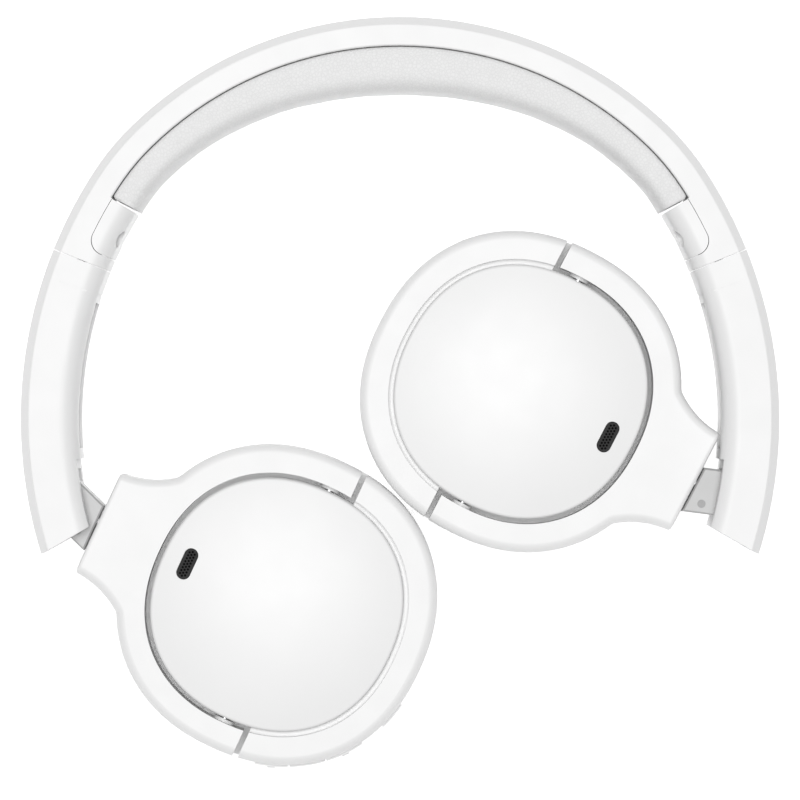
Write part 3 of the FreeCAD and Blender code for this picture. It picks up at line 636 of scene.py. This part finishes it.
class HEADPHONES_OT_ear_cushions(bpy.types.Operator):
    """Build the two soft rings that rest on the table or the head"""

    bl_idname = "headphones.ear_cushions"
    bl_label = "Ear Cushions"

    def execute(self, context):
        size = context.scene.ear_cushions
        leather = soft_leather("cushion_leather", size.colour, size.pebble, 0.00003, 0.5)
        for number, side in enumerate(SIDES):
            node = "ear_cushion_" + side
            lowest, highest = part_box(node)
            height = highest.z - lowest.z
            centre = (lowest + highest) / 2
            tree = tree_of(node)
            generator = np.random.default_rng(21 + number)
            gathers = ripples(generator, 7, *CUSHION_GATHERS)
            lumps = lumpy(generator, size.stations, size.around, 70, wrap_rows=True)
            rings = []
            for i in range(size.stations):
                angle = 2 * math.pi * i / size.stations
                direction = Vector((math.cos(angle), math.sin(angle), 0.0))
                inner, outer = cushion_reach(tree, centre, angle)
                wave = rippled(gathers, angle * round(outer / MM) * MM)
                ring = []
                section = cushion_section(inner, outer, height, size)
                for j, (reach, z, c, s, dip) in enumerate(section):
                    swell = size.lump * lumps[i, j] + size.pucker * wave * (PLAIN_GATHER + dip)
                    swell -= size.seam * dip + CUSHION_ROOM
                    point = centre + direction * (reach + swell * c)
                    low = lowest.z + z + swell * s
                    ring.append((point.x, point.y, max(low, lowest.z)))
                rings.append(ring)
            cushion = grid_piece("ear_cushion_leather_" + side, rings, leather, closed_rows=True)
            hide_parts(node)
            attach(cushion, "cup_" + side)
        return {"FINISHED"}


# ---- microphone meshes


HOLE_SIDES = 10
HOLE_MARGIN = 0.12 * MM
BACKING_EDGE = 0.05 * MM
BACKING_THREAD = 0.12 * MM


class MicrophoneSettings(bpy.types.PropertyGroup):
    pitch: FloatProperty(
        name="Pitch",
        description="Spacing of the holes",
        default=0.74 * MM,
        unit="LENGTH",
    )
    hole: FloatProperty(
        name="Hole",
        description="Radius of one hole",
        default=0.27 * MM,
        unit="LENGTH",
    )
    plate: FloatProperty(
        name="Plate",
        description="Thickness of the perforated plate",
        default=0.12 * MM,
        unit="LENGTH",
    )
    colour: FloatVectorProperty(
        name="Colour",
        description="Mesh colour",
        subtype="COLOR",
        default=(0.034, 0.034, 0.034),
    )


def pill_frame(node):
    """Top centre, long direction, length, width and bottom of a flat pill-shaped node."""
    points = np.array([v.co for v in frame["nodes"][node].data.vertices])
    plan = points[:, :2] - points[:, :2].mean(0)
    values, ways = np.linalg.eigh(plan.T @ plan)
    longways, crossways = ways[:, 1], ways[:, 0]
    along, across = plan @ longways, plan @ crossways
    middle = points[:, :2].mean(0) + longways * (along.max() + along.min()) / 2
    middle = middle + crossways * (across.max() + across.min()) / 2
    top = Vector((middle[0], middle[1], points[:, 2].max()))
    bottom = points[:, 2].min()
    length = along.max() - along.min()
    width = across.max() - across.min()
    return top, Vector((*longways, 0)), length, width, bottom


def add_loop(curve, points):
    """Adds one closed outline to a flat curve."""
    spline = curve.splines.new("POLY")
    spline.points.add(len(points) - 1)
    for target, (x, y) in zip(spline.points, points):
        target.co = (x, y, 0.0, 1.0)
    spline.use_cyclic_u = True


def pill_loop(length, width, steps=16):
    """The outline of a bar with round ends."""
    points = []
    straight = (length - width) / 2
    for side in (1, -1):
        for i in range(steps + 1):
            turn = math.pi * i / steps - side * math.pi / 2
            x = side * straight + width / 2 * math.cos(turn)
            points.append((x, width / 2 * math.sin(turn)))
    return points


def hole_places(length, width, size):
    """Centres of staggered holes that stay clear of the plate's edge."""
    row_step = size.pitch * math.sqrt(3) / 2
    room = width / 2 - size.hole - HOLE_MARGIN
    rows = int(width / 2 / row_step)
    for row in range(-rows, rows + 1):
        y = row * row_step
        if abs(y) > room:
            continue
        half = length / 2 - width / 2 + math.sqrt(room**2 - y * y)
        shift = size.pitch / 2 if row % 2 else 0.0
        count = int(half / size.pitch) + 1
        for i in range(-count, count + 1):
            x = i * size.pitch + shift
            if abs(x) <= half:
                yield x, y


def plate_with_holes(name, length, width, size):
    """A pill-shaped plate with staggered round holes, as a mesh lying in XY."""
    curve = bpy.data.curves.new(name, "CURVE")
    curve.dimensions = "2D"
    curve.fill_mode = "BOTH"
    curve.extrude = size.plate / 2
    add_loop(curve, pill_loop(length, width))
    turns = [2 * math.pi * k / HOLE_SIDES for k in range(HOLE_SIDES)]
    rim = [(size.hole * math.cos(turn), size.hole * math.sin(turn)) for turn in turns]
    for x, y in hole_places(length, width, size):
        add_loop(curve, [(x + across, y + along) for across, along in rim])
    holder = bpy.data.objects.new(name + "_curve", curve)
    bpy.context.scene.collection.objects.link(holder)
    bpy.context.view_layer.update()
    mesh = bpy.data.meshes.new_from_object(holder)
    bpy.data.objects.remove(holder)
    return mesh


class HEADPHONES_OT_microphones(bpy.types.Operator):
    """Build the perforated plates and the dark cloth behind them; the cloth is darkened below any
    cloth's own colour, as painted shade in the holes
    """

    bl_idname = "headphones.microphones"
    bl_label = "Microphone Meshes"

    def execute(self, context):
        size = context.scene.microphones
        coated = satin_paint("mesh_black", size.colour, 0.6, shine=0.12)
        # The backing is a tenth as bright as the mesh: partly the cloth's own black, partly
        # painted shade for the dark holes.
        cloth_tone_and_painted_shade = [c * 0.1 for c in size.colour]
        cloth = woven_cloth("mic_backing_cloth_painted_shade", cloth_tone_and_painted_shade, BACKING_THREAD, sheen=0.0, shine=0.05)
        for side in SIDES:
            node = "mic_mesh_" + side
            top, longways, length, width, bottom = pill_frame(node)
            turn = math.atan2(longways.y, longways.x)
            mesh = plate_with_holes("mic_plate_" + side, length, width, size)
            plate = bpy.data.objects.new("mic_plate_" + side, mesh)
            bpy.context.scene.collection.objects.link(plate)
            plate.location = top - Vector((0, 0, size.plate / 2))
            plate.rotation_euler = (0, 0, turn)
            dress(plate, coated)
            depth = top.z - bottom - size.plate * 2
            rings = []
            for inset, share in ((BACKING_EDGE, 1), (0, 0.9), (0, 0.05), (BACKING_EDGE, 0)):
                z = -share * depth
                loop = pill_loop(length - 2 * inset, width - 2 * inset)
                rings.append([(x, y, z) for x, y in loop])
            backing = grid_piece("mic_backing_" + side, rings, cloth)
            backing.location = top - Vector((0, 0, size.plate * 1.8))
            backing.rotation_euler = (0, 0, turn)
            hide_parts(node)
            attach(plate, "cup_" + side)
            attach(backing, "cup_" + side)
        return {"FINISHED"}


# ---- finishes of the frame's own nodes


class FinishSettings(bpy.types.PropertyGroup):
    shell: FloatVectorProperty(
        name="Shell",
        description="Colour of the band, arms, yokes and cups",
        subtype="COLOR",
        default=(0.82, 0.82, 0.82),
    )
    cap: FloatVectorProperty(
        name="Cap",
        description="Colour of the cups' outer plates",
        subtype="COLOR",
        default=(0.84, 0.84, 0.84),
    )
    hinge: FloatVectorProperty(
        name="Hinge",
        description="Colour of the hinge knuckles",
        subtype="COLOR",
        default=(0.43, 0.43, 0.43),
    )
    pin: FloatVectorProperty(
        name="Pin",
        description="Colour of the small painted pins and screws",
        subtype="COLOR",
        default=(0.3, 0.3, 0.3),
    )
    inner: FloatVectorProperty(
        name="Inner",
        description="Colour of the plastic inside the cups",
        subtype="COLOR",
        default=(0.1, 0.1, 0.105),
    )


class HEADPHONES_OT_finishes(bpy.types.Operator):
    """Give every frame node the material of its slot"""

    bl_idname = "headphones.finishes"
    bl_label = "Finishes"

    def execute(self, context):
        tones = context.scene.finishes
        by_slot = {
            "white_shell": moulded_plastic("white_shell", tones.shell, 0.42),
            "cap_white": moulded_plastic("cap_white", tones.cap, 0.4),
            "key_white": moulded_plastic("key_white", [c * 0.98 for c in tones.shell], 0.36),
            "hinge_grey": moulded_plastic("hinge_grey", tones.hinge, 0.33),
            "steel": bare_metal("steel", (0.6, 0.6, 0.61), 0.28),
            "pin_grey": satin_paint("pin_grey", tones.pin, 0.4),
            "inner_grey": moulded_plastic("inner_grey", tones.inner, 0.5),
            "magnet": bare_metal("magnet", (0.68, 0.68, 0.7), 0.16, along=(1, 1, 1)),
            "diaphragm": clear_film("diaphragm", (0.55, 0.55, 0.52)),
            "scrim_fabric": woven_cloth("scrim_fabric", (0.045, 0.045, 0.045), 0.35 * MM),
            "board_green": circuit_mask("board_green", (0.02, 0.11, 0.045)),
            "battery_wrap": wrapped_foil("battery_wrap", (0.45, 0.47, 0.5)),
            "light_lens": clear_lens("light_lens", (0.8, 0.8, 0.8)),
        }
        for subpart in frame["record"]["subparts"]:
            node = frame["nodes"][subpart["node"]]
            material = by_slot.get(subpart["material_slot"])
            if material is not None:
                dress(node, material)
            elif not node.hide_render:
                raise RuntimeError("no finish for the slot of " + subpart["node"])
        return {"FINISHED"}


# ---- stage


FLOOR_REACH = 4.0
SENSOR_WIDTH = 36.0
CLIP_END = 20.0
KEY_PLACE, KEY_SIZE = (-0.05, 0.12, 1.9), 0.9
FILL_PLACE, FILL_SIZE = (-0.4, -0.9, 1.5), 1.2


class StageSettings(bpy.types.PropertyGroup):
    camera_height: FloatProperty(
        name="Camera height",
        description="Height above the band's upper side",
        default=1.35,
        unit="LENGTH",
    )
    view_width: FloatProperty(
        name="View width",
        description="Width that the picture takes in",
        default=181.5 * MM,
        unit="LENGTH",
    )
    view_centre_y: FloatProperty(
        name="View centre",
        description="Where the picture's centre lies along Y",
        default=-1.5 * MM,
        unit="LENGTH",
    )
    floor: FloatVectorProperty(
        name="Floor",
        description="Floor colour",
        subtype="COLOR",
        default=(0.9, 0.9, 0.9),
    )
    floor_glow: FloatProperty(
        name="Floor glow",
        description="Light of the floor's own",
        default=0.5,
        min=0,
    )
    sky: FloatProperty(
        name="Sky",
        description="Strength of the even light from all around",
        default=0.24,
        min=0,
    )
    key_power: FloatProperty(
        name="Key power",
        description="Power of the large light overhead",
        default=27.6,
        min=0,
    )
    fill_power: FloatProperty(
        name="Fill power",
        description="Power of the light above the near side",
        default=1.8,
        min=0,
    )


def add_lamp(name, place, size, power):
    """A square soft light aimed at the middle of the headphones."""
    lamp = bpy.data.lights.new(name, "AREA")
    lamp.shape = "SQUARE"
    lamp.size = size
    lamp.energy = power
    holder = bpy.data.objects.new(name, lamp)
    bpy.context.scene.collection.objects.link(holder)
    holder.location = place
    holder.rotation_euler = (-Vector(place)).to_track_quat("-Z", "Y").to_euler()


def floor_material(size):
    """A pale matt floor with a little light of its own."""
    finish = Finish("stage_floor", size.floor, 0.9)
    finish.shader.inputs["Emission Color"].default_value = (1.0, 1.0, 1.0, 1.0)
    finish.shader.inputs["Emission Strength"].default_value = size.floor_glow
    finish.tint(finish.noise(0.3), [c * 0.995 for c in size.floor])
    return finish.material


class HEADPHONES_OT_stage(bpy.types.Operator):
    """Add the floor, the soft lights and the camera"""

    bl_idname = "headphones.stage"
    bl_label = "Stage"

    def execute(self, context):
        scene = context.scene
        size = scene.stage
        lowest, highest = (Vector(corner) for corner in CAD_BOX)
        mesh = bpy.data.meshes.new("floor")
        signs = ((-1, -1), (1, -1), (1, 1), (-1, 1))
        corners = [(x * FLOOR_REACH, y * FLOOR_REACH, 0) for x, y in signs]
        mesh.from_pydata(corners, [], [(0, 1, 2, 3)])
        floor = bpy.data.objects.new("floor", mesh)
        scene.collection.objects.link(floor)
        floor.location = (0, 0, lowest.z)
        mesh.materials.append(floor_material(size))
        world = bpy.data.worlds.new("studio")
        scene.world = world
        world.use_nodes = True
        background = world.node_tree.nodes["Background"]
        background.inputs["Color"].default_value = (1.0, 1.0, 1.0, 1.0)
        background.inputs["Strength"].default_value = size.sky
        add_lamp("key", KEY_PLACE, KEY_SIZE, size.key_power)
        add_lamp("fill", FILL_PLACE, FILL_SIZE, size.fill_power)
        lens = bpy.data.cameras.new("camera")
        lens.sensor_width = SENSOR_WIDTH
        lens.lens = lens.sensor_width * size.camera_height / size.view_width
        lens.clip_end = CLIP_END
        camera = bpy.data.objects.new("camera", lens)
        scene.collection.objects.link(camera)
        camera.location = (0.0, size.view_centre_y, highest.z + size.camera_height)
        camera.rotation_euler = (0.0, 0.0, 0.0)
        scene.camera = camera
        scene.view_settings.view_transform = "Standard"
        return {"FINISHED"}


# ---- panel and registration


class HEADPHONES_PT_build(bpy.types.Panel):
    """Lists the steps that dress the headphones"""

    bl_idname = "HEADPHONES_PT_build"
    bl_label = "Headphones"
    bl_space_type = "VIEW_3D"
    bl_region_type = "UI"
    bl_category = "Headphones"

    def draw(self, context):
        for group in GROUPS:
            box = self.layout.box()
            box.operator(group[2].bl_idname)
            held = getattr(context.scene, group[0])
            for name in held.bl_rna.properties.keys():
                if name not in ("rna_type", "name"):
                    box.prop(held, name)


GROUPS = (
    ("head_pad", HeadPadSettings, HEADPHONES_OT_head_pad),
    ("ear_cushions", EarCushionSettings, HEADPHONES_OT_ear_cushions),
    ("microphones", MicrophoneSettings, HEADPHONES_OT_microphones),
    ("finishes", FinishSettings, HEADPHONES_OT_finishes),
    ("stage", StageSettings, HEADPHONES_OT_stage),
)


def register():
    for name, group, operator in GROUPS:
        bpy.utils.register_class(group)
        bpy.utils.register_class(operator)
        setattr(bpy.types.Scene, name, PointerProperty(type=group))
    bpy.utils.register_class(HEADPHONES_PT_build)


def unregister():
    bpy.utils.unregister_class(HEADPHONES_PT_build)
    for name, group, operator in reversed(GROUPS):
        delattr(bpy.types.Scene, name)
        bpy.utils.unregister_class(operator)
        bpy.utils.unregister_class(group)


def main():
    register()
    bpy.ops.headphones.head_pad()
    bpy.ops.headphones.ear_cushions()
    bpy.ops.headphones.microphones()
    bpy.ops.headphones.finishes()
    bpy.ops.headphones.stage()


if __name__ == "__main__":
    main()
